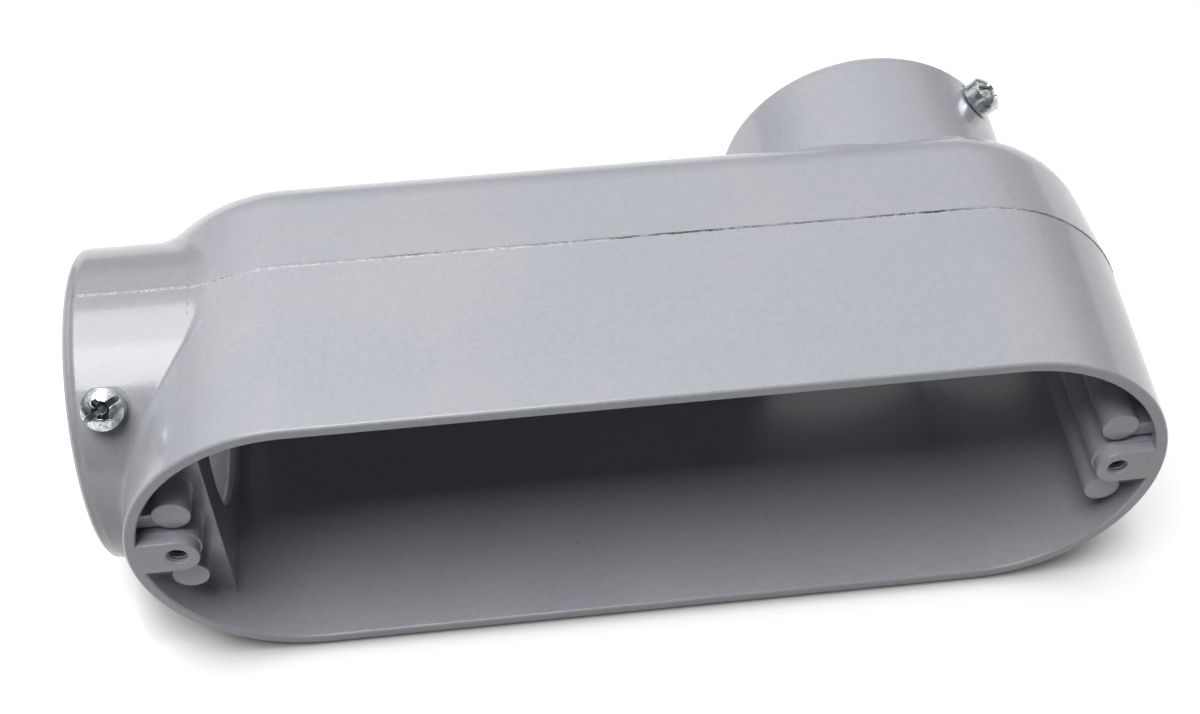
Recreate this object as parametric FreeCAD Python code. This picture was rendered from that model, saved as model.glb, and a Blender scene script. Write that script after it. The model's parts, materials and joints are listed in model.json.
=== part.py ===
"""Die-cast conduit body, type LB, for 3 inch EMT, with its cover off.

One casting holds a long obround box that is open at the front, a run hub on its left end
and a back hub near its right end.  A set screw in each hub clamps the conduit.

Frame, in millimetres: +X runs along the box towards its closed end, the cover opening
faces -Y, and +Z is up from the long flat side that the body lies on.  The origin is the
middle of the whole part's footprint, on the floor.
"""
import FreeCAD, Part
import math
import os

from FreeCAD import Vector

# Conduit and hubs
CONDUIT_DIAMETER = 88.9         # outside of 3 inch EMT
SOCKET_CLEARANCE = 0.8          # on the diameter
HUB_WALL = 3.75
SOCKET_DEPTH = 32.0             # mouth of the hub to the conduit stop
THROAT_DIAMETER = 70.2          # wire way through the stop
RUN_STOP_THICKNESS = 4.25       # web between the run socket and the box
BACK_STOP_THICKNESS = 3.6       # web between the back socket and the cavity
RUN_HUB_PROJECTION = 10.0       # run hub's mouth beyond the box's end
BACK_HUB_INSET = 21.3           # back hub's side from the box's closed end
MOUTH_LIP_WIDTH = 2.8           # band at the mouth that the side core forms
MOUTH_LIP_STEP = 0.35           # how far that band stands inside the hub's side
MOUTH_LIP_CHAMFER = 0.9         # its broken outer edge
MOUTH_CHAMFER = 1.0             # lead-in of the socket
THROAT_CHAMFER = 1.2            # on both sides, kind to cable

# Box
HUB_SIDE_ALLOWANCE = 5.05       # box stands this much wider than the hub, each side
HUB_CROWN_DEPTH = 14.05         # cover rim to the top of the run hub
BACK_DEPTH = 49.0               # hub axis to the box's back face, just over the run hub
BODY_LENGTH = 316.1             # tip to tip, at the parting line
RIM_WALL = 3.7                  # wall at the cover rim
BACK_WALL = 4.0
RIM_DRAFT = 1.06                # degrees, parting line towards the rim
BACK_DRAFT = 4.9                # degrees, parting line towards the back
CAVITY_DRAFT = 0.5              # degrees
BACK_EDGE_RADIUS = 22.5
RIM_OUTER_CHAMFER = 0.6
RIM_INNER_CHAMFER = 0.5
FLASH_HEIGHT = 0.2              # trimmed flash left along the parting line
FLASH_WIDTH = 0.6

# Cover screw lugs and ejector pads at both ends of the cavity
LUG_WIDTH = 13.3
LUG_HOLE_INSET = 15.8           # hole from the box's tip
LUG_STEP = 0.5                  # ledge along the lug's sides, level with the pads
COVER_TAP_DIAMETER = 6.1        # 1/4-20 thread, half way down its flanks
COVER_HOLE_DEPTH = 12.0
COVER_SINK_DIAMETER = 7.2
PAD_DIAMETER = 11.2
PAD_INSET = 16.8                # pads from the box's tip
PAD_SPACING = 29.4              # across the lug, centre to centre
PAD_DROP = 3.9                  # pads below the cover rim
PAD_WEB_STEP = 1.2              # web from each pad to the end wall, below the pad
WEB_DROP = 9.0                  # web between lug and pads, below the rim

# Set screws
RUN_SCREW_ANGLE = 46.5          # degrees up from the front
RUN_SCREW_SETBACK = 11.4        # screw axis from the run hub's mouth
BACK_SCREW_ANGLE = 43.0         # degrees up from the closed end
BACK_SCREW_SETBACK = 9.4        # screw axis from the back hub's mouth
SEAT_DIAMETER = 14.0            # flat spot on the hub under the head
SEAT_DEPTH = 0.4
SHANK_DIAMETER = 7.94           # 5/16 inch, over the thread
SHANK_FIT = 0.05                # radial clearance in the hub's hole
POINT_RETREAT = 0.1             # point short of the socket's wall
POINT_CHAMFER = 0.8
HEAD_DIAMETER = 12.4
HEAD_SIDE_HEIGHT = 5.1
HEAD_DOME_HEIGHT = 2.6
HEAD_STANDOFF = 0.6             # head's underside above its seat
SLOT_WIDTH = 1.7
SLOT_DEPTH = 2.6                # below the top of the dome
CROSS_SPAN = 6.4
CROSS_ARM_WIDTH = 1.7
CROSS_DEPTH = 3.6               # below the top of the dome

# Worked out from the sizes above
SOCKET_RADIUS = (CONDUIT_DIAMETER + SOCKET_CLEARANCE) / 2
HUB_RADIUS = SOCKET_RADIUS + HUB_WALL
THROAT_HOLE_RADIUS = THROAT_DIAMETER / 2
HALF_WIDTH = HUB_RADIUS + HUB_SIDE_ALLOWANCE
PARTING_DEPTH = HUB_CROWN_DEPTH + HUB_RADIUS
BODY_DEPTH = PARTING_DEPTH + BACK_DEPTH
RIM_HALF_WIDTH = HALF_WIDTH - PARTING_DEPTH * math.tan(math.radians(RIM_DRAFT))
BACK_HALF_WIDTH = HALF_WIDTH - BACK_DEPTH * math.tan(math.radians(BACK_DRAFT))
CAVITY_DEPTH = BODY_DEPTH - BACK_WALL
CAVITY_RIM_HALF_WIDTH = RIM_HALF_WIDTH - RIM_WALL
CAVITY_BACK_HALF_WIDTH = CAVITY_RIM_HALF_WIDTH - CAVITY_DEPTH * math.tan(math.radians(CAVITY_DRAFT))
CAVITY_EDGE_RADIUS = BACK_EDGE_RADIUS - BACK_WALL
STRAIGHT_LENGTH = BODY_LENGTH - 2 * HALF_WIDTH
SEAT_RADIUS = HUB_RADIUS - SEAT_DEPTH
HEAD_RADIUS_FROM_AXIS = SEAT_RADIUS + HEAD_STANDOFF
SHANK_LENGTH = HEAD_RADIUS_FROM_AXIS - SOCKET_RADIUS - POINT_RETREAT
FULL_LENGTH = BODY_LENGTH + RUN_HUB_PROJECTION
FULL_DEPTH = CAVITY_DEPTH + BACK_STOP_THICKNESS + SOCKET_DEPTH

# Places in the frame
FLOOR_TO_AXIS = HALF_WIDTH + FLASH_HEIGHT
RIM_Y = -FULL_DEPTH / 2
AXIS_Y = RIM_Y + PARTING_DEPTH
BACK_MOUTH_Y = RIM_Y + FULL_DEPTH
RUN_MOUTH_X = -(FULL_LENGTH + FLASH_HEIGHT) / 2
BODY_X = RUN_MOUTH_X + RUN_HUB_PROJECTION + BODY_LENGTH / 2
CLOSED_TIP_X = BODY_X + BODY_LENGTH / 2
OPEN_TIP_X = BODY_X - BODY_LENGTH / 2
END_WALL_X = RUN_MOUTH_X + SOCKET_DEPTH + RUN_STOP_THICKNESS
BACK_HUB_X = CLOSED_TIP_X - BACK_HUB_INSET - HUB_RADIUS
OVERCUT = 2.0                   # how far cutting solids run past the metal


def place(x, depth, z):
    """A point from its place along the box, depth behind the rim and height above the axis."""
    return Vector(x, RIM_Y + depth, FLOOR_TO_AXIS + z)


def rounded_wire(corners):
    """A closed wire through (x, y, radius) corners, with a tangent arc at each radius."""
    count = len(corners)
    points = [Vector(x, y, 0) for x, y, _ in corners]
    runs = []
    for i in range(count):
        corner, radius = points[i], corners[i][2]
        before = (points[i - 1] - corner).normalize()
        after = (points[(i + 1) % count] - corner).normalize()
        half = before.getAngle(after) / 2
        if radius <= 0:
            runs.append((corner, None, corner))
            continue
        setback = radius / math.tan(half)
        middle = (before + after).normalize() * (radius / math.sin(half) - radius)
        runs.append((corner + before * setback, corner + middle, corner + after * setback))
    edges = []
    for i, (start, middle, end) in enumerate(runs):
        if middle is not None:
            edges.append(Part.Arc(start, middle, end).toShape())
        following = runs[(i + 1) % count][0]
        if (following - end).Length > 1e-6:
            edges.append(Part.LineSegment(end, following).toShape())
    return Part.Wire(edges)


def obround(outline, straight, x):
    """A solid with one section all round: turned half way at both ends, straight between.

    outline holds (half width, depth, corner radius) down one side, from the rim to the back.
    """
    front, back = outline[0][1], outline[-1][1]
    other_side = [(-width, depth, radius) for width, depth, radius in reversed(outline)]
    section = Part.Face(rounded_wire(outline + other_side))
    half_section = Part.Face(rounded_wire([(0, front, 0)] + outline + [(0, back, 0)]))
    upright = FreeCAD.Rotation(Vector(0, 1, 0), -90)
    bar = section.extrude(Vector(0, 0, -straight))
    bar.Placement = FreeCAD.Placement(place(x - straight / 2, 0, 0), upright)
    ends = []
    for side in (-1, 1):
        half_section.Placement = FreeCAD.Placement(Vector(0, 0, 0), upright)
        end = half_section.revolve(Vector(0, 0, 0), Vector(0, side, 0), 180)
        end.translate(place(x + side * straight / 2, 0, 0))
        ends.append(end)
    return bar.multiFuse(ends).removeSplitter()


def cylinder(radius, start, end):
    """A cylinder from one point to another."""
    return Part.makeCylinder(radius, (end - start).Length, start, end - start)


def box_between(low, high):
    """A block between two opposite corners."""
    size = high - low
    return Part.makeBox(size.x, size.y, size.z, low)


def box_outside():
    """The box's outer form: drafted both ways from the parting line, round at the back."""
    return obround([
        (RIM_HALF_WIDTH - RIM_OUTER_CHAMFER, 0, 0),
        (RIM_HALF_WIDTH, RIM_OUTER_CHAMFER, 0),
        (HALF_WIDTH, PARTING_DEPTH, 0),
        (BACK_HALF_WIDTH, BODY_DEPTH, BACK_EDGE_RADIUS),
    ], STRAIGHT_LENGTH, BODY_X)


def parting_flash():
    """The narrow ridge of trimmed flash at the parting line, round the box and along the run hub."""
    near = PARTING_DEPTH - FLASH_WIDTH / 2
    far = PARTING_DEPTH + FLASH_WIDTH / 2
    reach = HALF_WIDTH + FLASH_HEIGHT
    round_box = obround([(reach, near, 0), (reach, far, 0)], STRAIGHT_LENGTH, BODY_X)
    hub_reach = HUB_RADIUS + FLASH_HEIGHT
    low = place(RUN_MOUTH_X + MOUTH_LIP_WIDTH, near, -hub_reach)
    high = place(END_WALL_X, far, hub_reach)
    return round_box.fuse(box_between(low, high))


def hub_blank(length):
    """A hub's outside, mouth at the origin and axis along +X, with its stepped, chamfered lip."""
    lip = HUB_RADIUS - MOUTH_LIP_STEP
    wire = rounded_wire([
        (0, 0, 0),
        (0, lip - MOUTH_LIP_CHAMFER, 0),
        (MOUTH_LIP_CHAMFER, lip, 0),
        (MOUTH_LIP_WIDTH - MOUTH_LIP_STEP, lip, 0),
        (MOUTH_LIP_WIDTH, HUB_RADIUS, 0),
        (length, HUB_RADIUS, 0),
        (length, 0, 0),
    ])
    return Part.Face(wire).revolve(Vector(0, 0, 0), Vector(1, 0, 0), 360)


def hub_bore(stop_thickness):
    """What a hub's socket and throat take away, from beyond the mouth at the origin."""
    inside = SOCKET_DEPTH + stop_thickness
    flare = THROAT_HOLE_RADIUS + THROAT_CHAMFER
    wire = rounded_wire([
        (-OVERCUT, 0, 0),
        (-OVERCUT, SOCKET_RADIUS + MOUTH_CHAMFER + OVERCUT, 0),
        (MOUTH_CHAMFER, SOCKET_RADIUS, 0),
        (SOCKET_DEPTH, SOCKET_RADIUS, 0),
        (SOCKET_DEPTH, flare, 0),
        (SOCKET_DEPTH + THROAT_CHAMFER, THROAT_HOLE_RADIUS, 0),
        (inside - THROAT_CHAMFER, THROAT_HOLE_RADIUS, 0),
        (inside, flare, 0),
        (inside + OVERCUT, flare, 0),
        (inside + OVERCUT, 0, 0),
    ])
    return Part.Face(wire).revolve(Vector(0, 0, 0), Vector(1, 0, 0), 360)


def on_run_hub(shape):
    """Stand a hub solid at the run hub's mouth, facing the left end."""
    shape.Placement = FreeCAD.Placement(place(RUN_MOUTH_X, PARTING_DEPTH, 0), FreeCAD.Rotation())
    return shape


def on_back_hub(shape):
    """Stand a hub solid at the back hub's mouth, facing the back."""
    turn = FreeCAD.Rotation(Vector(0, 0, 1), -90)
    shape.Placement = FreeCAD.Placement(place(BACK_HUB_X, FULL_DEPTH, 0), turn)
    return shape


def stadium(nose_x, outer_x, width, near, far):
    """A lug with a round nose centred on nose_x that reaches to outer_x, between two depths."""
    nose = cylinder(width / 2, place(nose_x, near, 0), place(nose_x, far, 0))
    low = place(min(nose_x, outer_x), near, -width / 2)
    high = place(max(nose_x, outer_x), far, width / 2)
    return nose.fuse(box_between(low, high))


def end_furniture(tip_x, side, floor):
    """The cover screw lug, both ejector pads and their webs at one end, down to floor.

    side is +1 at the closed end and -1 at the run hub's end.
    """
    hole_x = tip_x - side * LUG_HOLE_INSET
    pad_x = tip_x - side * PAD_INSET
    near_x, far_x = sorted((pad_x, tip_x))
    parts = [
        stadium(hole_x, tip_x, LUG_WIDTH, 0, floor),
        stadium(hole_x, tip_x, LUG_WIDTH + 2 * LUG_STEP, PAD_DROP, floor),
    ]
    for pad_side in (-1, 1):
        middle = pad_side * PAD_SPACING / 2
        inner = middle - pad_side * PAD_DIAMETER / 2
        top, bottom = place(pad_x, PAD_DROP, middle), place(pad_x, floor, middle)
        parts.append(cylinder(PAD_DIAMETER / 2, top, bottom))
        low = place(near_x, PAD_DROP + PAD_WEB_STEP, min(inner, middle))
        high = place(far_x, floor, max(inner, middle))
        parts.append(box_between(low, high))
    low = place(near_x, WEB_DROP, -PAD_SPACING / 2)
    high = place(far_x, floor, PAD_SPACING / 2)
    parts.append(box_between(low, high))
    return parts[0].multiFuse(parts[1:]).removeSplitter()


def cavity():
    """The room inside the box, less the block behind the run hub and the ends' furniture."""
    rim_flare = CAVITY_RIM_HALF_WIDTH + RIM_INNER_CHAMFER
    room = obround([
        (rim_flare, -OVERCUT, 0),
        (rim_flare, 0, 0),
        (CAVITY_RIM_HALF_WIDTH, RIM_INNER_CHAMFER, 0),
        (CAVITY_BACK_HALF_WIDTH, CAVITY_DEPTH, CAVITY_EDGE_RADIUS),
    ], STRAIGHT_LENGTH, BODY_X)
    low = place(OPEN_TIP_X, HUB_CROWN_DEPTH, -HALF_WIDTH)
    high = place(END_WALL_X, BODY_DEPTH, HALF_WIDTH)
    room = room.cut(box_between(low, high))
    room = room.cut(end_furniture(OPEN_TIP_X, -1, HUB_CROWN_DEPTH + OVERCUT))
    return room.cut(end_furniture(CLOSED_TIP_X, 1, BODY_DEPTH))


def cover_screw_holes():
    """The two tapped holes for the cover screws, each with its countersink."""
    drill = COVER_TAP_DIAMETER / 2
    sink = COVER_SINK_DIAMETER / 2
    holes = []
    for x in (OPEN_TIP_X + LUG_HOLE_INSET, CLOSED_TIP_X - LUG_HOLE_INSET):
        hole = cylinder(drill, place(x, -OVERCUT, 0), place(x, COVER_HOLE_DEPTH, 0))
        cone = Part.makeCone(sink, drill, sink - drill, place(x, 0, 0), Vector(0, 1, 0))
        holes.append(hole.fuse(cone))
    return holes


def screw_axes():
    """Each set screw's axis: a point where it crosses its hub's axis, and its way out."""
    run_angle = math.radians(RUN_SCREW_ANGLE)
    back_angle = math.radians(BACK_SCREW_ANGLE)
    return {
        "run_hub_set_screw": (
            place(RUN_MOUTH_X + RUN_SCREW_SETBACK, PARTING_DEPTH, 0),
            Vector(0, -math.cos(run_angle), math.sin(run_angle))),
        "back_hub_set_screw": (
            place(BACK_HUB_X, FULL_DEPTH - BACK_SCREW_SETBACK, 0),
            Vector(math.cos(back_angle), 0, math.sin(back_angle))),
    }


def set_screw_holes():
    """Holes through the hub walls for the set screws, and the flat seats under their heads."""
    hole = SHANK_DIAMETER / 2 + SHANK_FIT
    cuts = []
    for centre, way_out in screw_axes().values():
        seat = centre + way_out * SEAT_RADIUS
        outside = centre + way_out * (HUB_RADIUS + OVERCUT)
        inside = centre + way_out * (SOCKET_RADIUS - OVERCUT)
        cuts.append(cylinder(hole, inside, outside))
        cuts.append(cylinder(SEAT_DIAMETER / 2, seat, outside))
    return cuts


def drive_recess():
    """The slot and cross that take a flat or a cross-tipped driver, in the head's top."""
    top = HEAD_SIDE_HEIGHT + HEAD_DOME_HEIGHT
    slot = Part.makeBox(HEAD_DIAMETER + OVERCUT, SLOT_WIDTH, SLOT_DEPTH + OVERCUT)
    slot.translate(Vector(-(HEAD_DIAMETER + OVERCUT) / 2, -SLOT_WIDTH / 2, top - SLOT_DEPTH))
    arms = []
    for turn in (0, 90):
        wide = Part.makePolygon([
            Vector(-CROSS_SPAN / 2, 0, top + OVERCUT),
            Vector(CROSS_SPAN / 2, 0, top + OVERCUT),
            Vector(CROSS_SPAN / 2, 0, top - SLOT_DEPTH / 2),
            Vector(CROSS_ARM_WIDTH / 2, 0, top - CROSS_DEPTH),
            Vector(-CROSS_ARM_WIDTH / 2, 0, top - CROSS_DEPTH),
            Vector(-CROSS_SPAN / 2, 0, top - SLOT_DEPTH / 2),
            Vector(-CROSS_SPAN / 2, 0, top + OVERCUT),
        ])
        arm = Part.Face(wide).extrude(Vector(0, CROSS_ARM_WIDTH, 0))
        arm.translate(Vector(0, -CROSS_ARM_WIDTH / 2, 0))
        arm.rotate(Vector(0, 0, 0), Vector(0, 0, 1), turn)
        arms.append(arm)
    return slot.multiFuse(arms)


def set_screw(centre, way_out):
    """One set screw: domed head with its drive recess, shank and chamfered point."""
    head = HEAD_DIAMETER / 2
    shank = SHANK_DIAMETER / 2
    top = HEAD_SIDE_HEIGHT + HEAD_DOME_HEIGHT
    dome_radius = (head ** 2 + HEAD_DOME_HEIGHT ** 2) / (2 * HEAD_DOME_HEIGHT)
    half_way = head / 2
    shoulder = top - dome_radius + math.sqrt(dome_radius ** 2 - half_way ** 2)
    edge = Vector(head, 0, HEAD_SIDE_HEIGHT)
    crown = Vector(0, 0, top)
    path = [
        Vector(0, 0, -SHANK_LENGTH),
        Vector(shank - POINT_CHAMFER, 0, -SHANK_LENGTH),
        Vector(shank, 0, -SHANK_LENGTH + POINT_CHAMFER),
        Vector(shank, 0, 0),
        Vector(head, 0, 0),
        edge,
    ]
    edges = [Part.LineSegment(a, b).toShape() for a, b in zip(path, path[1:])]
    edges.append(Part.Arc(edge, Vector(half_way, 0, shoulder), crown).toShape())
    edges.append(Part.LineSegment(crown, path[0]).toShape())
    screw = Part.Face(Part.Wire(edges)).revolve(Vector(0, 0, 0), Vector(0, 0, 1), 360)
    screw = screw.cut(drive_recess())
    seated = centre + way_out * HEAD_RADIUS_FROM_AXIS
    screw.Placement = FreeCAD.Placement(seated, FreeCAD.Rotation(Vector(0, 0, 1), way_out))
    return screw


def body_casting():
    """The whole casting: box, hubs, flash and every opening."""
    run_blank = on_run_hub(hub_blank(SOCKET_DEPTH + RUN_STOP_THICKNESS))
    back_blank = on_back_hub(hub_blank(FULL_DEPTH - BODY_DEPTH + BACK_EDGE_RADIUS))
    outside = box_outside().multiFuse([run_blank, back_blank, parting_flash()]).removeSplitter()
    metal = outside.cut(cavity())
    run_bore = on_run_hub(hub_bore(RUN_STOP_THICKNESS))
    back_bore = on_back_hub(hub_bore(BACK_STOP_THICKNESS))
    tools = [run_bore, back_bore] + cover_screw_holes() + set_screw_holes()
    return metal.cut(tools)


def main():
    """Build every piece and write one STEP file for each."""
    os.makedirs("parts", exist_ok=True)
    pieces = {"body_casting": body_casting()}
    for name, (centre, way_out) in screw_axes().items():
        pieces[name] = set_screw(centre, way_out)
    for name, shape in pieces.items():
        solid = shape.Solids[0]
        print(name, "solids", len(shape.Solids), "valid", shape.isValid(), "volume", round(solid.Volume))
        solid.exportStep(os.path.join("parts", name + ".step"))


main()
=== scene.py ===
# %% [markdown]
# # A die-cast conduit body, dressed over its CAD frame
#
# The real object is a type LB conduit body for 3 inch thin-wall conduit: a grey painted
# aluminium casting with a long round-ended box, a hub on its left end, a hub on its back and
# one zinc-plated set screw in each hub.  Its cover is off, so the chamber is open to the front.
#
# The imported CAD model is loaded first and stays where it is.  Everything after that either
# dresses a CAD piece with a finish, or adds fine detail that a solid model leaves plain.

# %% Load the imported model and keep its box
import json
import math

import bmesh
import bpy
import numpy as np
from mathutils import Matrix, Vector


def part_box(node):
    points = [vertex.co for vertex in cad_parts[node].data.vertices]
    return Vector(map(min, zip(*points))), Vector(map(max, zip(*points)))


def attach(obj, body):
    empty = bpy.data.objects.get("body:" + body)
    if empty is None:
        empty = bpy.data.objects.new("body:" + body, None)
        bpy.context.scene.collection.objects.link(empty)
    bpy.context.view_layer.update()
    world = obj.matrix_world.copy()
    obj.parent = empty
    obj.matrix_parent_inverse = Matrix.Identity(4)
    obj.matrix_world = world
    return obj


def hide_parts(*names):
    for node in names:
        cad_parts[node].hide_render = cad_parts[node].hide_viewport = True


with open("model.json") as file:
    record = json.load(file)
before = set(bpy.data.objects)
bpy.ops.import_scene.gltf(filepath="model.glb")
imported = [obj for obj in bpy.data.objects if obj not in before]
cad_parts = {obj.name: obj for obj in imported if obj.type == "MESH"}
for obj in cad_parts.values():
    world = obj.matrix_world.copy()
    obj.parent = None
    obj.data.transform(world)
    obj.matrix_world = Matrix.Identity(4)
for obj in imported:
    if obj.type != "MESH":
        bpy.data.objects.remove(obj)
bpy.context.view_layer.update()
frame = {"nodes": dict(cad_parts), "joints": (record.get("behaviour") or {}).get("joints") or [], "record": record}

print("pieces in the frame:", sorted(frame["nodes"]))

# %% [markdown]
# ## Where things are
#
# A maker reads places off the drawing instead of guessing them.  The casting's own box gives
# the floor, the rim and both tips, and the record gives each socket's middle.  Only the sizes
# that no box can tell, such as how high the trimmed flash stands, are written here.

# %% Read the places of the casting
MM = 0.001
casting_low, casting_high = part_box("body_casting")
mounts = {mount["name"]: mount["pos_m"] for mount in frame["record"]["mounts"]}

FLASH_HEIGHT = 0.2 * MM
HUB_RADIUS = 48.6 * MM
AXIS_Z = (casting_low.z + casting_high.z) / 2
HALF_WIDTH = AXIS_Z - casting_low.z - FLASH_HEIGHT
RIM_Y = casting_low.y
PARTING_Y = mounts["run_hub_socket"][1]
RUN_MOUTH_X = casting_low.x
CLOSED_TIP_X = casting_high.x - FLASH_HEIGHT
RUN_HUB_PROJECTION = 10.0 * MM
OPEN_TIP_X = RUN_MOUTH_X + RUN_HUB_PROJECTION
BODY_X = (OPEN_TIP_X + CLOSED_TIP_X) / 2
STRAIGHT_HALF = (CLOSED_TIP_X - OPEN_TIP_X) / 2 - HALF_WIDTH
BACK_HUB_X = mounts["back_hub_socket"][0]
print("half width %.2f mm, straight half %.2f mm" % (HALF_WIDTH / MM, STRAIGHT_HALF / MM))
print("parting plane at y = %.2f mm, hub axis at z = %.2f mm" % (PARTING_Y / MM, AXIS_Z / MM))

# %% [markdown]
# ## From a grid of points to a piece
#
# Every added piece is one surface over a grid: one parameter runs along the rows and the other
# along the columns.  numpy works out all the points at once, and the faces follow from the
# numbering alone, so there is no loop over vertices.  Rows or columns may close on themselves,
# as round a screw.  Points that fall together, such as a pole, are welded afterwards, and the
# sign of the enclosed volume tells whether the faces have to be turned to point outwards.

# %% Helpers that turn a grid into a mesh piece
WELD_DISTANCE = 1e-7
SHARP_ANGLE = math.radians(38)


def grid_faces(rows, columns, rows_close, columns_close):
    """Four corner numbers for each cell of a grid whose points are numbered row by row."""
    row = np.arange(rows if rows_close else rows - 1)
    column = np.arange(columns if columns_close else columns - 1)
    row, column = np.meshgrid(row, column, indexing="ij")
    next_row, next_column = (row + 1) % rows, (column + 1) % columns
    corners = [row * columns + column, row * columns + next_column,
               next_row * columns + next_column, next_row * columns + column]
    return np.stack(corners, axis=-1).reshape(-1, 4)


def enclosed_volume(points, faces):
    """Volume inside the faces: a sixth of the summed products a . (b x c) of both triangles."""
    a, b, c, d = (points[faces[:, corner]] for corner in range(4))
    halves = np.einsum("ij,ij->i", a, np.cross(b, c)) + np.einsum("ij,ij->i", a, np.cross(c, d))
    return halves.sum() / 6


def surface_piece(name, parts, body, material, shade_values=None):
    """One mesh object from (grid, rows close, columns close) parts, riding on a body.

    Painted shade values, one for each point, are kept as the attribute "painted_shade" for the finish to read.
    """
    points, faces, first = [], [], 0
    for grid, rows_close, columns_close in parts:
        flat = grid.reshape(-1, 3)
        cells = grid_faces(grid.shape[0], grid.shape[1], rows_close, columns_close)
        if enclosed_volume(flat - flat.mean(axis=0), cells) < 0:
            cells = cells[:, ::-1]
        points.append(flat)
        faces.append(cells + first)
        first += len(flat)
    mesh = bpy.data.meshes.new(name)
    mesh.from_pydata(np.concatenate(points).tolist(), [], np.concatenate(faces).tolist())
    if shade_values is not None:
        mesh.attributes.new("painted_shade", "FLOAT", "POINT").data.foreach_set("value", shade_values.ravel())
    welded = bmesh.new()
    welded.from_mesh(mesh)
    bmesh.ops.remove_doubles(welded, verts=welded.verts, dist=WELD_DISTANCE)
    welded.to_mesh(mesh)
    welded.free()
    mesh.shade_smooth()
    mesh.set_sharp_from_angle(angle=SHARP_ANGLE)
    mesh.materials.append(material)
    piece = bpy.data.objects.new(name, mesh)
    bpy.context.scene.collection.objects.link(piece)
    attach(piece, body)
    print(name, "faces:", len(mesh.polygons))
    return piece


# %% [markdown]
# ## A short way to write shader nodes
#
# A finish is a small network of nodes.  Written out in full it hides its idea under hundreds
# of lines, so one helper adds a node, sets its values and joins its inputs.  A value that is a
# socket is joined, and anything else is set as it stands.

# %% Helpers for node networks
def new_material(name):
    """An empty node material, its tree and its output node."""
    material = bpy.data.materials.new(name)
    material.use_nodes = True
    material.node_tree.nodes.clear()
    output = material.node_tree.nodes.new("ShaderNodeOutputMaterial")
    return material, material.node_tree, output


def add_node(tree, kind, inputs=None, **settings):
    """Add a node, set its settings, then set or join its inputs by name or number."""
    node = tree.nodes.new("ShaderNode" + kind)
    for setting, value in settings.items():
        setattr(node, setting, value)
    for key, value in (inputs or {}).items():
        if isinstance(value, bpy.types.NodeSocket):
            tree.links.new(value, node.inputs[key])
        else:
            node.inputs[key].default_value = value
    return node


def maths(tree, operation, *values):
    """The result socket of one Math node."""
    node = add_node(tree, "Math", dict(enumerate(values)), operation=operation)
    return node.outputs[0]


def product(tree, first, *others):
    """The product of any number of values, as a chain of Math nodes."""
    for other in others:
        first = maths(tree, "MULTIPLY", first, other)
    return first


def hypotenuse(tree, first, second):
    """The square root of the sum of both squares."""
    squares = [maths(tree, "MULTIPLY", value, value) for value in (first, second)]
    return maths(tree, "SQRT", maths(tree, "ADD", *squares))


def blend_colours(tree, factor, first, second):
    """The colour socket of a Mix node between two colours."""
    node = add_node(tree, "Mix", {0: factor, 6: first, 7: second}, data_type="RGBA")
    return node.outputs[2]


def noise(tree, where, scale, detail=2.0, roughness=0.5):
    """A noise value socket, with scale in waves per metre."""
    inputs = {"Vector": where, "Scale": scale, "Detail": detail, "Roughness": roughness}
    return add_node(tree, "TexNoise", inputs).outputs["Fac"]


def stray(tree, where, scale, size):
    """Noise less its middle, so that it strays up to half the size to either side of zero."""
    return product(tree, maths(tree, "SUBTRACT", noise(tree, where, scale), 0.5), size)


def between(tree, value, low, high, to_low=0.0, to_high=1.0):
    """Carry a value from one range to another, smoothly and without going past either end."""
    inputs = {"Value": value, "From Min": low, "From Max": high, "To Min": to_low, "To Max": to_high}
    return add_node(tree, "MapRange", inputs, interpolation_type="SMOOTHSTEP").outputs["Result"]


# %% [markdown]
# ## Grey paint on the casting
#
# The casting wears one thin coat of satin grey paint, a little blue.  It follows the cast
# skin, so it has a fine grain, a faint orange peel and slow drifts of shade over a hand's
# width.  A few specks of dust are caught in it.  Paint rounds every edge that it covers, and a
# Bevel node bends the shading over edges by that small radius, without touching the mesh.
#
# Where the two die halves met there is a parting line.  Its flash was trimmed after casting,
# which left stretches of torn metal that the paint bridges badly.  The colour paints them as a
# dark crack, which is painted shadow in the tear, and a bright scuff, which is bare metal with a
# painted highlight on it.  Both are painted by place: a thin band about the parting plane, only
# on the outside, broken up by noise and by a ramp of stretches along the body.
#
# Two more touches go by place.  The run hub is a shade darker than the box, and the lip of its
# mouth is eased: a ramp in height over the outermost millimetres makes the shading there lean
# towards the mouth.  The mesh of the mouth stays square.

# %% Masks for the parting line
HUB_SKIN = 0.15 * MM
BOX_SKIN = 1.2 * MM


def outside_mask(tree, x, z):
    """1 on the outer skin at the parting plane, 0 on the walls inside.

    On a hub the height off the axis is its radius, less a hair at most.  On the box the reach
    from the round-ended centre line is the half width, give or take the depth of its skin.
    """
    past_straight = maths(tree, "SUBTRACT", maths(tree, "ABSOLUTE", x), STRAIGHT_HALF)
    reach = hypotenuse(tree, maths(tree, "MAXIMUM", past_straight, 0.0), z)
    off_skin = maths(tree, "ABSOLUTE", maths(tree, "SUBTRACT", reach, HALF_WIDTH))
    on_hub = maths(tree, "GREATER_THAN", maths(tree, "ABSOLUTE", z), HUB_RADIUS - HUB_SKIN)
    on_box = maths(tree, "LESS_THAN", off_skin, BOX_SKIN)
    return maths(tree, "MAXIMUM", on_hub, on_box)


def stretches(tree, x, stops):
    """A ramp along the body: stops are (place in mm, strength) pairs over its whole length."""
    span = casting_high.x - casting_low.x
    place = maths(tree, "DIVIDE", maths(tree, "ADD", x, BODY_X - casting_low.x), span)
    ramp = add_node(tree, "ValToRGB", {0: place})
    elements = ramp.color_ramp.elements
    while len(elements) > 1:
        elements.remove(elements[0])
    for number, (where, strength) in enumerate(stops):
        position = (where * MM - casting_low.x) / span
        if number == 0:
            elements[0].position = position
            element = elements[0]
        else:
            element = elements.new(position)
        element.color = (strength, strength, strength, 1.0)
    return ramp.outputs["Color"]


# Stops for the crack's painted shadow, then for the scuff and its painted highlight.
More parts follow.
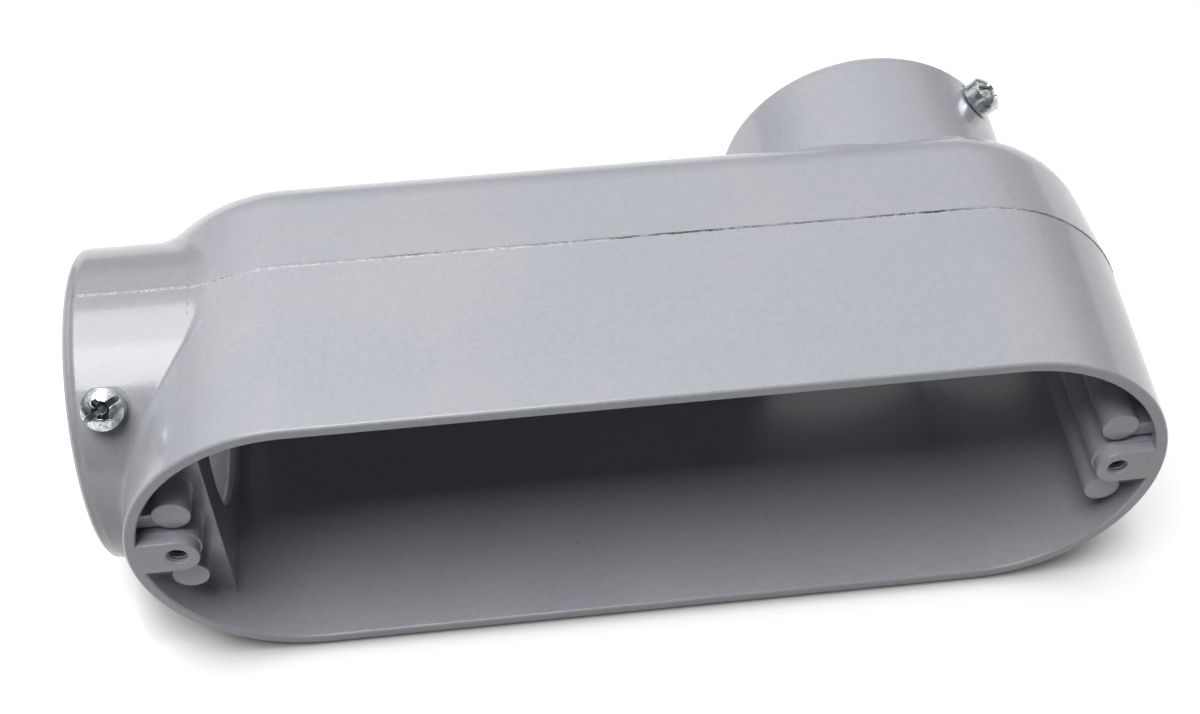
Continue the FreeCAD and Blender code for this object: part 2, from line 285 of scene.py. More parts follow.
CRACK_SHADOW_STRETCHES = [(-158, 0.0), (-107, 0.0), (-100, 0.15), (-72, 0.35), (-60, 0.75), (-50, 0.45),
                  (-34, 0.35), (-2, 0.5), (3, 0.9), (24, 1.0), (40, 0.75), (47, 0.15), (52, 0.6),
                  (63, 0.55), (72, 0.2), (80, 0.75), (101, 1.0), (108, 0.2), (122, 0.25),
                  (130, 0.8), (163, 1.0)]
SCUFF_HIGHLIGHT_STRETCHES = [(-158, 0.7), (-140, 0.9), (-122, 0.6), (-106, 0.8), (-86, 0.75), (-74, 0.6),
                    (-60, 0.9), (-44, 0.8), (-2, 0.6), (4, 0.1), (40, 0.1), (70, 0.15),
                    (84, 0.6), (104, 0.5), (112, 0.95), (122, 0.8), (130, 0.3), (163, 0.25)]
print("stretches of flash:", len(CRACK_SHADOW_STRETCHES), "dark stops,", len(SCUFF_HIGHLIGHT_STRETCHES), "bright stops")

# %% The crack's painted shadow and the scuff's painted highlight along the line
LINE_STRAY = 0.9 * MM
# Widths of the crack's painted shadow and of the scuff with its painted highlight.
CRACK_CORE, CRACK_EDGE = 0.22 * MM, 0.42 * MM
SCUFF_OFFSET = 0.35 * MM
SCUFF_CORE, SCUFF_EDGE = 0.25 * MM, 0.6 * MM
SLOW_WAVES, BROKEN_WAVES, TORN_WAVES, RAGGED_WAVES = 120.0, 380.0, 900.0, 1500.0


def crack_shadow_and_scuff_highlight_masks(tree, place, x, y, z):
    """Strengths of the crack's painted shadow and of the bright scuff beside it, with its painted highlight.

    Each is a band about the parting plane, from full strength in its core to none at its edge,
    times its stretches, times the outside mask, times a noise that breaks it up.
    """
    outside = outside_mask(tree, x, z)
    off_line = maths(tree, "ADD", maths(tree, "ADD", y, stray(tree, place, SLOW_WAVES, LINE_STRAY)),
                     stray(tree, place, RAGGED_WAVES, LINE_STRAY))
    broken = between(tree, noise(tree, place, BROKEN_WAVES), 0.30, 0.50)
    crack_shadow_band = between(tree, maths(tree, "ABSOLUTE", off_line), CRACK_CORE, CRACK_EDGE, 1.0, 0.0)
    crack_shadow = product(tree, crack_shadow_band, stretches(tree, x, CRACK_SHADOW_STRETCHES), outside, broken)
    beside = maths(tree, "ABSOLUTE", maths(tree, "ADD", off_line, SCUFF_OFFSET))
    torn = between(tree, noise(tree, place, TORN_WAVES, 3.0, 0.7), 0.46, 0.56)
    scuff_highlight_band = between(tree, beside, SCUFF_CORE, SCUFF_EDGE, 1.0, 0.0)
    scuff_highlight = product(tree, scuff_highlight_band, stretches(tree, x, SCUFF_HIGHLIGHT_STRETCHES), outside, torn)
    return crack_shadow, scuff_highlight


# %% The darker hub and the eased lip
HUB_SHADE = 0.24
HUB_SHADE_FULL, HUB_SHADE_GONE = 0.3 * MM, 1.3 * MM
HUB_ROOT_FAR, HUB_ROOT_NEAR = 27 * MM, 16 * MM
MOUTH_LIP_WIDTH = 3.5 * MM
MOUTH_LIP_DROP = 1.0 * MM


def run_hub_mask(tree, x, y, z):
    """The shade's strength on the run hub: near its radius, and left of the box's root."""
    near_radius = between(tree, hypotenuse(tree, y, z), HUB_RADIUS + HUB_SHADE_FULL,
                          HUB_RADIUS + HUB_SHADE_GONE, 1.0, 0.0)
    left_of_root = between(tree, x, -(STRAIGHT_HALF + HUB_ROOT_FAR),
                           -(STRAIGHT_HALF + HUB_ROOT_NEAR), HUB_SHADE, 0.0)
    return maths(tree, "MULTIPLY", near_radius, left_of_root)


def eased_lip(tree, x, normal):
    """Normals leaned towards the mouth: the height falls by the drop over the lip's width."""
    mouth = casting_low.x - BODY_X
    ramp = {"Value": x, "From Min": mouth, "From Max": mouth + MOUTH_LIP_WIDTH}
    height = add_node(tree, "MapRange", ramp).outputs["Result"]
    inputs = {"Strength": 1.0, "Distance": MOUTH_LIP_DROP, "Height": height, "Normal": normal}
    return add_node(tree, "Bump", inputs).outputs[0]


# %% The paint itself
# Colours are red, green and blue in linear light, then opacity.  Waves are per metre.
DEEP_GREY, PALE_GREY = (0.455, 0.470, 0.515, 1), (0.500, 0.512, 0.548, 1)
GRAIN_GREY, MOTTLE_GREY = (0.36, 0.37, 0.41, 1), (0.62, 0.62, 0.65, 1)
SHADE_GREY, DUST_GREY = (0.06, 0.06, 0.062, 1), (0.07, 0.07, 0.08, 1)
# The crack's black is painted shadow; the scuff's white is bare metal with a painted highlight.
SCUFF_HIGHLIGHT_WHITE, CRACK_SHADOW_BLACK = (0.80, 0.80, 0.82, 1), (0.02, 0.02, 0.024, 1)
GRAIN_STRENGTH, MOTTLE_STRENGTH, DUST_STRENGTH, SCUFF_HIGHLIGHT_STRENGTH = 0.55, 0.12, 0.75, 0.7
DRIFT_WAVES, MOTTLE_WAVES, PEEL_WAVES, GRAIN_WAVES = 14.0, 420.0, 700.0, 1250.0
DUST_CELLS = 60.0
DUST_CORE, DUST_EDGE = 0.015, 0.022
PAINT_EDGE_RADIUS = 0.7 * MM
PAINT_RELIEF = 0.05 * MM
SATIN_SMOOTH, SATIN_ROUGH = 0.30, 0.38
COAT_ROUGHNESS = 0.14


def grey_paint():
    """Satin grey paint over a cast skin, with dust specks, and a parting line with a crack of painted shadow and a
    scuff with a painted highlight.
    """
    material, tree, output = new_material("satin_grey_paint")
    place = add_node(tree, "TexCoord").outputs["Object"]
    centred = add_node(tree, "Mapping", {"Vector": place, "Location": (-BODY_X, -PARTING_Y, -AXIS_Z)})
    axes = add_node(tree, "SeparateXYZ", {0: centred.outputs[0]}).outputs
    x, y, z = axes["X"], axes["Y"], axes["Z"]

    drift = noise(tree, place, DRIFT_WAVES, detail=3.0)
    grain = noise(tree, place, GRAIN_WAVES, detail=3.0, roughness=0.7)
    mottle = noise(tree, place, MOTTLE_WAVES, detail=3.0)
    grained = between(tree, grain, 0.25, 0.75, 0.0, GRAIN_STRENGTH)
    mottled = between(tree, mottle, 0.35, 0.7, 0.0, MOTTLE_STRENGTH)
    colour = blend_colours(tree, between(tree, drift, 0.35, 0.65), DEEP_GREY, PALE_GREY)
    colour = blend_colours(tree, grained, colour, GRAIN_GREY)
    colour = blend_colours(tree, mottled, colour, MOTTLE_GREY)
    colour = blend_colours(tree, run_hub_mask(tree, x, y, z), colour, SHADE_GREY)

    dust = add_node(tree, "TexVoronoi", {"Vector": place, "Scale": DUST_CELLS, "Randomness": 1.0})
    speck = between(tree, dust.outputs["Distance"], DUST_CORE, DUST_EDGE, 1.0, 0.0)
    colour = blend_colours(tree, maths(tree, "MULTIPLY", speck, DUST_STRENGTH), colour, DUST_GREY)
    # Painted shadow in the crack and a painted highlight on the scuff, along the parting line.
    crack_shadow, scuff_highlight = crack_shadow_and_scuff_highlight_masks(tree, place, x, y, z)
    colour = blend_colours(tree, maths(tree, "MULTIPLY", scuff_highlight, SCUFF_HIGHLIGHT_STRENGTH), colour, SCUFF_HIGHLIGHT_WHITE)
    colour = blend_colours(tree, crack_shadow, colour, CRACK_SHADOW_BLACK)

    peel = noise(tree, place, PEEL_WAVES, detail=1.0)
    skin = maths(tree, "ADD", maths(tree, "MULTIPLY", peel, 0.55), maths(tree, "MULTIPLY", grain, 0.45))
    scar = maths(tree, "SUBTRACT", maths(tree, "MULTIPLY", scuff_highlight, 1.4), maths(tree, "MULTIPLY", crack_shadow, 2.0))
    soft_edge = add_node(tree, "Bevel", {"Radius": PAINT_EDGE_RADIUS}, samples=6)
    bump = add_node(tree, "Bump", {"Strength": 0.35, "Distance": PAINT_RELIEF,
                                   "Height": maths(tree, "ADD", skin, scar),
                                   "Normal": eased_lip(tree, x, soft_edge.outputs[0])})
    shine = maths(tree, "ADD", between(tree, mottle, 0.3, 0.7, SATIN_SMOOTH, SATIN_ROUGH),
                  maths(tree, "MULTIPLY", scuff_highlight, 0.15))
    shader = add_node(tree, "BsdfPrincipled", {"Base Color": colour, "Roughness": shine,
                                               "Coat Weight": 0.8, "Coat Roughness": COAT_ROUGHNESS,
                                               "Normal": bump.outputs[0], "Coat Normal": bump.outputs[0]})
    tree.links.new(shader.outputs[0], output.inputs["Surface"])
    return material


paint = grey_paint()
print("paint nodes:", len(paint.node_tree.nodes))

# %% [markdown]
# ## Zinc plate on the screws
#
# The set screws are cold-headed steel with a bright zinc plate.  Such plate mirrors the room,
# but softly: the steel under it is a little rough from heading, and the plate has a cool,
# faintly blue tint that drifts from place to place.  The struck recess and the shank under the
# head are darkened with painted shade: every screw's mesh carries how strong it is at each point.

# %% The zinc plate
BLUE_ZINC, WARM_ZINC = (0.50, 0.54, 0.58, 1), (0.76, 0.77, 0.75, 1)
# The first is dirt; the second is painted shade, for the struck recess and the shank under the head.
ZINC_DIRT, RECESS_SHADE = (0.12, 0.125, 0.12, 1), (0.05, 0.075, 0.08, 1)
ZINC_DRIFT_WAVES, ZINC_DIRT_WAVES, HAMMER_WAVES = 300.0, 700.0, 1400.0
ZINC_EDGE_RADIUS = 0.15 * MM
ZINC_RELIEF = 0.08 * MM
ZINC_SMOOTH, ZINC_ROUGH = 0.12, 0.26


def zinc_plate():
    """Bright zinc plate: a cool metal with a fine hammered relief, drifting tint and painted shade in the recess.
    """
    material, tree, output = new_material("bright_zinc_plate")
    place = add_node(tree, "TexCoord").outputs["Object"]
    drift = noise(tree, place, ZINC_DRIFT_WAVES, detail=3.0)
    colour = blend_colours(tree, between(tree, drift, 0.35, 0.65), BLUE_ZINC, WARM_ZINC)
    dirt = between(tree, noise(tree, place, ZINC_DIRT_WAVES, 4.0, 0.7), 0.48, 0.64, 0.0, 0.65)
    colour = blend_colours(tree, dirt, colour, ZINC_DIRT)
    # Painted shade: darker where the head is struck deeper, and along the shank.
    painted_shade = add_node(tree, "Attribute", attribute_name="painted_shade").outputs["Fac"]
    colour = blend_colours(tree, maths(tree, "MULTIPLY", painted_shade, 0.7), colour, RECESS_SHADE)
    hammered = noise(tree, place, HAMMER_WAVES, detail=3.0, roughness=0.6)
    soft_edge = add_node(tree, "Bevel", {"Radius": ZINC_EDGE_RADIUS}, samples=6)
    bump = add_node(tree, "Bump", {"Strength": 0.7, "Distance": ZINC_RELIEF, "Height": hammered,
                                   "Normal": soft_edge.outputs[0]})
    shine = between(tree, drift, 0.3, 0.7, ZINC_SMOOTH, ZINC_ROUGH)
    shader = add_node(tree, "BsdfPrincipled", {"Base Color": colour, "Metallic": 1.0, "Roughness": shine,
                                               "Normal": bump.outputs[0]})
    tree.links.new(shader.outputs[0], output.inputs["Surface"])
    return material


zinc = zinc_plate()
print("zinc nodes:", len(zinc.node_tree.nodes))

# %% Dress the CAD casting
for slot in frame["nodes"]["body_casting"].material_slots:
    slot.material = paint
print("casting's finishes:", [slot.material.name for slot in frame["nodes"]["body_casting"].material_slots])

# %% [markdown]
# ## Where the hubs grow out of the box
#
# A die caster never leaves a sharp inside corner: hot metal tears there.  So both hubs grow out
# of the box with a fillet.  The back hub's is narrow and even.  The run hub's is tight at the
# front, where the pattern maker wanted a crisp corner, and widens over the top and behind,
# until the hub melts into the box.  The CAD model keeps the bare crease.
#
# An even fillet is the groove that a ball leaves when it rolls along the crease: the ball's
# middle runs along the crossing of two surfaces, each one ball radius outside its wall, and
# the fillet is the arc between both touching points.  A fillet of changing width breaks that
# rule, so the run hub gets a blend instead: from each point of the crease, walk a given width
# out along each wall, and join both ends with a cubic curve that leaves along either wall.
#
# Both strips are closed solids.  Their edges run on just under the skin, and their backs lie
# deeper than the paint's soft edges look, so that no hidden face shades the visible one.

# %% The box's outer profile, as reach over depth
BACK_Y = PARTING_Y + 49.0 * MM
BACK_EDGE_RADIUS = 22.5 * MM
RIM_DRAFT, BACK_DRAFT = math.radians(1.06), math.radians(4.9)
FRONT_POINTS, SIDE_POINTS, TURN_POINTS, FLAT_POINTS = 120, 80, 120, 60


def box_profile():
    """Depth, reach from the round-ended centre line, and outward normal, from rim to back.

    Two drafted straights meet at the parting plane; then a quarter round; then the flat back.
    """
    turn_depth = BACK_Y - BACK_EDGE_RADIUS
    turn_reach = (HALF_WIDTH - (turn_depth - PARTING_Y) * math.tan(BACK_DRAFT)
                  - BACK_EDGE_RADIUS / math.cos(BACK_DRAFT))
    front = np.linspace(RIM_Y, PARTING_Y, FRONT_POINTS)
    side_end = turn_depth + BACK_EDGE_RADIUS * math.sin(BACK_DRAFT)
    side = np.linspace(PARTING_Y, side_end, SIDE_POINTS)
    angle = np.linspace(BACK_DRAFT, np.pi / 2, TURN_POINTS)
    depth = np.concatenate([front, side, turn_depth + BACK_EDGE_RADIUS * np.sin(angle),
                            np.full(FLAT_POINTS, BACK_Y)])
    reach = np.concatenate([HALF_WIDTH + (front - PARTING_Y) * math.tan(RIM_DRAFT),
                            HALF_WIDTH - (side - PARTING_Y) * math.tan(BACK_DRAFT),
                            turn_reach + BACK_EDGE_RADIUS * np.cos(angle),
                            np.linspace(turn_reach, 0, FLAT_POINTS)])
    slope = np.concatenate([np.full(FRONT_POINTS, -RIM_DRAFT), np.full(SIDE_POINTS, BACK_DRAFT),
                            angle, np.full(FLAT_POINTS, np.pi / 2)])
    return depth, reach, np.sin(slope), np.cos(slope)


def profile_travels(depth, reach):
    """Length along the profile from the rim to each of its points."""
    return np.concatenate([[0], np.cumsum(np.hypot(np.diff(depth), np.diff(reach)))])


def where_crossed(values, targets):
    """The fractional place along falling values at which they pass each target."""
    index = np.clip((values > targets[:, None]).sum(axis=1), 1, len(values) - 1)
    before, after = values[index - 1], values[index]
    return index - 1 + np.clip((before - targets) / np.maximum(before - after, 1e-12), 0, 1)


def sample(values, place):
    """Values of a profile at fractional places along it."""
    return np.interp(place, np.arange(len(values)), values)


def smooth(value, low, high):
    """0 up to low, 1 from high on, and the smooth step 3 t^2 - 2 t^3 between them."""
    t = np.clip((value - low) / (high - low), 0, 1)
    return t * t * (3 - 2 * t)


print("profile of the box:", len(box_profile()[0]), "points")

# %% What both strips have in common
ARC_POINTS = 15
EDGE_RUN_ON = 1.3 * MM
EDGE_DEPTH = 0.08 * MM
BACKING_DEPTH = 0.9 * MM
CREASE_DEPTH = 1.4 * MM


def with_sunk_edges(strip, crease, first_normal, first_way, last_normal, last_way):
    """Close a strip under the skin.

    Both edges run on along their walls, a little under the skin.  The back joins them through
    a point below the crease, where it lies deepest.
    """
    def beyond(edge, normal, way, depth):
        return (edge + EDGE_RUN_ON * way - depth * normal)[:, None]
    first, last = strip[:, 0], strip[:, -1]
    between_walls = first_normal + last_normal
    between_walls /= np.linalg.norm(between_walls, axis=1, keepdims=True)
    return np.concatenate([beyond(first, first_normal, first_way, EDGE_DEPTH), strip,
                           beyond(last, last_normal, last_way, EDGE_DEPTH),
                           beyond(last, last_normal, last_way, BACKING_DEPTH),
                           (crease - CREASE_DEPTH * between_walls)[:, None],
                           beyond(first, first_normal, first_way, BACKING_DEPTH)], axis=1)


# %% The back hub's even fillet
BACK_FILLET_RADIUS = 2.2 * MM


def fillet_strip(ball_centre, radius, hub_normal, box_normal):
    """Arc of the ball from its touch on the hub to its touch on the box, closed under the skin.

    Each point is the ball's centre less the radius times a direction that swings evenly from
    the hub's normal to the box's.
    """
    swing = np.arccos(np.clip((hub_normal * box_normal).sum(axis=1), -1, 1))[:, None, None]
    t = np.linspace(0, 1, ARC_POINTS)[None, :, None]
    direction = np.sin((1 - t) * swing) * hub_normal[:, None] + np.sin(t * swing) * box_normal[:, None]
    direction /= np.sin(swing)
    arc = ball_centre[:, None] - radius * direction
    sine, cosine = np.sin(swing[:, 0]), np.cos(swing[:, 0])
    crease = ball_centre - radius * direction[:, ARC_POINTS // 2] / np.cos(swing[:, 0] / 2)
    return with_sunk_edges(arc, crease, hub_normal, (box_normal - cosine * hub_normal) / sine,
                           box_normal, (hub_normal - cosine * box_normal) / sine)


def back_hub_fillet(columns=420):
    """Roll the ball round the back hub: at each turn its reach is known, its depth follows."""
    depth, reach, normal_y, normal_reach = box_profile()
    turn = np.linspace(0, 2 * np.pi, columns, endpoint=False)
    hub_normal = np.stack([np.cos(turn), np.zeros_like(turn), np.sin(turn)], axis=-1)
    x = BACK_HUB_X + (HUB_RADIUS + BACK_FILLET_RADIUS) * np.cos(turn)
    rise = (HUB_RADIUS + BACK_FILLET_RADIUS) * np.sin(turn)
    sideways = x - np.clip(x, BODY_X - STRAIGHT_HALF, BODY_X + STRAIGHT_HALF)
    centre_reach = np.hypot(sideways, rise)
    last = int((depth < PARTING_Y).sum())
    offset_reach = reach[last:] + BACK_FILLET_RADIUS * normal_reach[last:]
    place = where_crossed(offset_reach, centre_reach) + last
    y = sample(depth, place) + BACK_FILLET_RADIUS * sample(normal_y, place)
    lean = sample(normal_reach, place) / centre_reach
    centre = np.stack([x, y, AXIS_Z + rise], axis=-1)
    box_normal = np.stack([sideways * lean, sample(normal_y, place), rise * lean], axis=-1)
    box_normal /= np.linalg.norm(box_normal, axis=1, keepdims=True)
    return fillet_strip(centre, BACK_FILLET_RADIUS, hub_normal, box_normal)


# %% The run hub's blend
TIGHT_RADIUS = 1.1 * MM
FRONT_RADIUS_GAIN = 1.5 * MM
FRONT_FULL, FRONT_GONE = math.radians(20), math.radians(50)
MELT_WIDTH = 4.6 * MM
MELT_START, MELT_FULL = math.radians(64), math.radians(90)


def round_end_point(travel, angle):
    """Point of the box's round end at a travel along its profile and an angle round the end,
    with its unit directions towards the back and round the end, its normal and its reach."""
    depth, reach, normal_y, normal_reach = box_profile()
    travels = profile_travels(depth, reach)
    y, r, ny, nr = (np.interp(travel, travels, values) for values in (depth, reach, normal_y, normal_reach))
    cos, sin = np.cos(angle), np.sin(angle)
    point = np.stack([BODY_X - STRAIGHT_HALF - r * cos, y, AXIS_Z + r * sin], axis=-1)
    to_back = np.stack([cos * ny, nr, -sin * ny], axis=-1)
    round_end = np.stack([sin, np.zeros_like(sin), cos], axis=-1)
    normal = np.stack([-cos * nr, ny, sin * nr], axis=-1)
    return point, to_back, round_end, normal, r


def blend_width(turn, hub_normal, box_normal):
    """Width of the blend along either wall, at each turn from the front.

    A radius times the tangent of half the corner, as for a fillet, plus the melt's own width.
    """
    corner = np.arccos(np.clip((hub_normal * box_normal).sum(axis=1), -1, 1))
    from_front = np.abs(np.mod(turn + np.pi, 2 * np.pi) - np.pi)
    radius = TIGHT_RADIUS + FRONT_RADIUS_GAIN * (1 - smooth(from_front, FRONT_FULL, FRONT_GONE))
    return radius * np.tan(corner / 2) + MELT_WIDTH * smooth(from_front, MELT_START, MELT_FULL)


def run_hub_blend(columns=360):
    """Blend between the run hub and the box, closed under the skin.

    The crease is where a hub point's depth and height meet the box's reach.  Square to it, in
    the box's own surface, lies the way out; the other way out is the hub's straight line.
    """
    depth, reach = box_profile()[:2]
    turn = np.linspace(0, 2 * np.pi, columns, endpoint=False)
    hub_normal = np.stack([np.zeros_like(turn), -np.cos(turn), np.sin(turn)], axis=-1)
    y, rise = PARTING_Y - HUB_RADIUS * np.cos(turn), HUB_RADIUS * np.sin(turn)
    travel = np.interp(y, depth, profile_travels(depth, reach))
    angle = np.arcsin(rise / np.interp(y, depth, reach))
    crease, to_back, round_end, box_normal, crease_reach = round_end_point(travel, angle)

    along = np.roll(crease, -1, axis=0) - np.roll(crease, 1, axis=0)
    back_part, round_part = -(along * round_end).sum(axis=1), (along * to_back).sum(axis=1)
    way_out = back_part[:, None] * to_back + round_part[:, None] * round_end
    outward = np.sign((way_out * hub_normal).sum(axis=1)) / np.hypot(back_part, round_part)
    back_part, round_part = back_part * outward, round_part * outward

    width = blend_width(turn, hub_normal, box_normal)
    far, far_back, far_round, far_normal, _ = round_end_point(
        travel + width * back_part, angle + width * round_part / crease_reach)
    home = -(back_part[:, None] * far_back + round_part[:, None] * far_round)
    to_root = np.array([1.0, 0.0, 0.0])
    near = crease - width[:, None] * to_root

    t = np.linspace(0, 1, ARC_POINTS)[None, :, None]
    pull = 2 / 3 * width[:, None, None]
    near_handle, far_handle = near[:, None] + pull * to_root, far[:, None] + pull * home[:, None]
    curve = ((1 - t) ** 3 * near[:, None] + 3 * (1 - t) ** 2 * t * near_handle
             + 3 * (1 - t) * t ** 2 * far_handle + t ** 3 * far[:, None])
    return with_sunk_edges(curve, crease, hub_normal, -to_root, far_normal, -home)


surface_piece("run_hub_root_fillet", [(run_hub_blend(), True, True)], "casting", paint)
surface_piece("back_hub_root_fillet", [(back_hub_fillet(), True, True)], "casting", paint)

# %% [markdown]
# ## Trimmed flash
#
# Flash is the thin fin of metal that squeezes out between the die halves.  A trimming press
# shears it off but leaves a low, torn bead.  The CAD model carries an even ridge, and this
# piece adds the tear: a flat bead carried along the parting line, whose width and height come
# from summed sine waves of unrelated lengths, so that it never repeats by eye.

# %% Paths that the flash follows
FLASH_STEP = 0.3 * MM
TEAR_CONTRAST = 1.6
HUB_FLASH_START = 3.2 * MM
HUB_FLASH_LENGTH = 38.0 * MM


def tear(distance, seed, wavelengths_mm):
    """Values about a half along a path: the mean of sines whose phases come from the seed,
    made stronger by the contrast.  A few go past 0 or 1."""
    phases = np.random.default_rng(seed).uniform(0, 2 * np.pi, len(wavelengths_mm))
    waves = [np.sin(2 * np.pi * distance / (length * MM) + phase)
             for length, phase in zip(wavelengths_mm, phases)]
    return 0.5 + 0.5 * np.mean(waves, axis=0) * TEAR_CONTRAST


def round_box_path(step):
    """Points and outward directions from the run hub over the top, round the closed end and
    back along the bottom: the angle turns only on the round ends, the middle moves between."""
    straight, arc = 2 * STRAIGHT_HALF, np.pi * HALF_WIDTH
    to_hub = HALF_WIDTH * np.arccos(HUB_RADIUS / HALF_WIDTH)
    s = np.arange(-to_hub, 2 * straight + arc + to_hub, step)
    turned = np.clip(s, None, 0) + np.clip(s - straight, 0, arc) + np.clip(s - 2 * straight - arc, 0, None)
    angle = np.pi / 2 - turned / HALF_WIDTH
    moved = np.clip(s, 0, straight) - np.clip(s - straight - arc, 0, straight)
    out = np.stack([np.cos(angle), np.zeros_like(s), np.sin(angle)], axis=-1)
    centre = np.stack([BODY_X - STRAIGHT_HALF + moved, np.full_like(s, PARTING_Y),
                       np.full_like(s, AXIS_Z)], axis=-1)
    return s, centre + out * HALF_WIDTH, out


def hub_side_path(side, step):
    """Points and outward directions along the run hub's top (side 1) or underside (side -1)."""
    s = np.arange(0, HUB_FLASH_LENGTH, step)
    out = np.tile([0.0, 0.0, float(side)], (len(s), 1))
    points = np.stack([RUN_MOUTH_X + HUB_FLASH_START + s, np.full_like(s, PARTING_Y),
                       np.full_like(s, AXIS_Z + side * HUB_RADIUS)], axis=-1)
    return s, points, out


# %% The torn bead itself
BEAD_POINTS = 7
BEAD_LEAST_HEIGHT, BEAD_HEIGHT_GAIN = 0.03 * MM, 0.15 * MM
BEAD_LEAST_WIDTH, BEAD_WIDTH_GAIN = 0.22 * MM, 0.34 * MM
BEAD_DRIFT = 0.35 * MM
BEAD_ROUNDNESS = 0.6
BEAD_EDGE_DEPTH = 0.05 * MM
BEAD_FOOT_DEPTH = 0.4 * MM


def flash_bead(s, path, out, seed):
    """A low bead along a path, closed at both tips.

    Across it the height is a half wave, raised to the tear's height.  The half width and the
    middle line wander on their own, and the foot is sunk into the wall, so the bead grows out
    of the casting.
    """
    across = np.linspace(-1, 1, BEAD_POINTS)
    height = np.clip(tear(s, seed, [31, 7.3, 2.9, 1.1]), 0, 1) * BEAD_HEIGHT_GAIN + BEAD_LEAST_HEIGHT
    width = np.clip(tear(s, seed + 1, [23, 5.1, 1.9, 0.9]), 0, 1) * BEAD_WIDTH_GAIN + BEAD_LEAST_WIDTH
    drift = (tear(s, seed + 2, [17, 3.7, 1.4]) - 0.5) * BEAD_DRIFT
    crown = np.cos(across * np.pi / 2) ** BEAD_ROUNDNESS
    lift = np.outer(height, crown) - (1 - crown) * BEAD_EDGE_DEPTH
    sideways = np.outer(width, across) + drift[:, None]
    top = path[:, None, :] + out[:, None, :] * lift[..., None]
    top[..., 1] += sideways
    foot = path[:, None, :] - out[:, None, :] * BEAD_FOOT_DEPTH + np.zeros_like(top)
    foot[..., 1] = top[..., 1]
    ring = np.concatenate([top, foot[:, ::-1]], axis=1)
    tips = np.broadcast_to(ring[[0, -1]].mean(axis=1, keepdims=True), (2, *ring.shape[1:]))
    return np.concatenate([tips[:1], ring, tips[1:]], axis=0)


flash_parts = [(flash_bead(*round_box_path(FLASH_STEP), seed=11), False, True)]
surface_piece("flash_round_box", flash_parts, "casting", paint)
hub_parts = [(flash_bead(*hub_side_path(side, FLASH_STEP), seed=30 + side), False, True) for side in (-1, 1)]
surface_piece("flash_along_run_hub", hub_parts, "casting", paint)

# %% [markdown]
# ## Threads for the cover screws
#
# Each lug has a hole tapped 1/4-20.  A thread is a groove on a helix, and the simplest exact
# way to draw one is to let the radius depend on depth and turn together: follow the pitch once
# round and the groove meets itself one tooth lower.  The thread is a thin lining inside the
# CAD hole, closed by a second, smooth surface behind it.

# %% A thread as a radius over depth and turn
INCH = 25.4 * MM
LUG_HOLE_INSET = 15.8 * MM
COVER_PITCH = INCH / 20
COVER_ROOT, COVER_CREST, COVER_BACKING = 3.0 * MM, 2.62 * MM, 3.04 * MM
THREAD_START, THREAD_END = 0.55 * MM, 11.6 * MM
THREAD_LEAD_IN = 0.8 * MM


def thread_radius(depth, turn, root, crest, pitch):
    """Radius of a V thread: a triangle wave of depth over pitch less turn over a full turn,
    with both points cut off flat, carried between the root and the crest radius."""
    phase = np.mod(depth / pitch - turn / (2 * np.pi), 1.0)
    tooth = np.clip(1.35 * (1 - np.abs(2 * phase - 1)) - 0.15, 0, 1)
    return root + (crest - root) * tooth


def ring_grid(radius, depth, turn, centre, along, side):
    """Points at a radius and turn about an axis through centre, a depth along it."""
    other = np.cross(along, side)
    radial = np.cos(turn)[..., None] * side + np.sin(turn)[..., None] * other
    return centre + depth[..., None] * along + radius[..., None] * radial


def tapped_lining(hole_x, rows=200, columns=96):
    """The tapped wall of one cover screw hole, as a closed lining 11 mm long.  The thread
    rises out of the plain wall over its lead-in."""
    depth, turn = np.meshgrid(np.linspace(THREAD_START, THREAD_END, rows),
                              np.linspace(0, 2 * np.pi, columns, endpoint=False), indexing="ij")
    lead_in = np.clip((depth - THREAD_START) / THREAD_LEAD_IN, 0, 1)
    tapped = thread_radius(depth, turn, COVER_ROOT, COVER_CREST, COVER_PITCH)
    tapped = COVER_ROOT + (tapped - COVER_ROOT) * lead_in
    centre = np.array([hole_x, RIM_Y, AXIS_Z])
    along, side = np.array([0.0, 1.0, 0.0]), np.array([1.0, 0.0, 0.0])
    thread = ring_grid(tapped, depth, turn, centre, along, side)
    back = ring_grid(np.full_like(tapped, COVER_BACKING), depth, turn, centre, along, side)
    return np.concatenate([thread, back[::-1]], axis=0)


for end, hole_x in (("run_end", OPEN_TIP_X + LUG_HOLE_INSET), ("closed_end", CLOSED_TIP_X - LUG_HOLE_INSET)):
    lining_parts = [(tapped_lining(hole_x), True, True)]
    surface_piece("tapped_thread_" + end, lining_parts, "casting", paint)

# %% [markdown]
# ## Set screws
#
# Each screw is turned about one axis, so its points are a profile carried round.  Only the top
# of the head breaks that rule: a slot and a cross are struck into the dome.  The dome is
# therefore a height over the disc, and the slot and both arms of the cross take their depth
# off it with steep, smooth walls.  The shank has a real 5/16-18 thread.

# %% Height of the struck head
# All sizes of a screw are in mm until it is placed.
HEAD_RADIUS = 6.2
HEAD_SIDE = 5.1
HEAD_TOP = 7.7
SLOT_DEPTH, SLOT_HALF_WIDTH, SLOT_BLUR = 2.6, 0.85, 0.09
CROSS_DEPTH, CROSS_REACH, CROSS_END_BLUR = 3.6, 3.3, 0.25
CROSS_HALF_WIDTH, CROSS_TAPER, CROSS_SIDE_BLUR = 1.15, 0.12, 0.3
CROSS_FLAT, CROSS_SLOPE = 1.1, 0.95
BOWL_FLAT, BOWL_SLOPE = 1.0, 1.9


def band(distance, half_width, blur):
    """1 inside a band, 0 outside, with a smooth wall as wide as twice the blur."""
    return 1 - smooth(np.abs(distance), half_width - blur, half_width + blur)


def cut(height, floor, mask):
    """Lower a height to a floor where the mask is 1, never raising it."""
    return height + (np.minimum(floor, height) - height) * mask


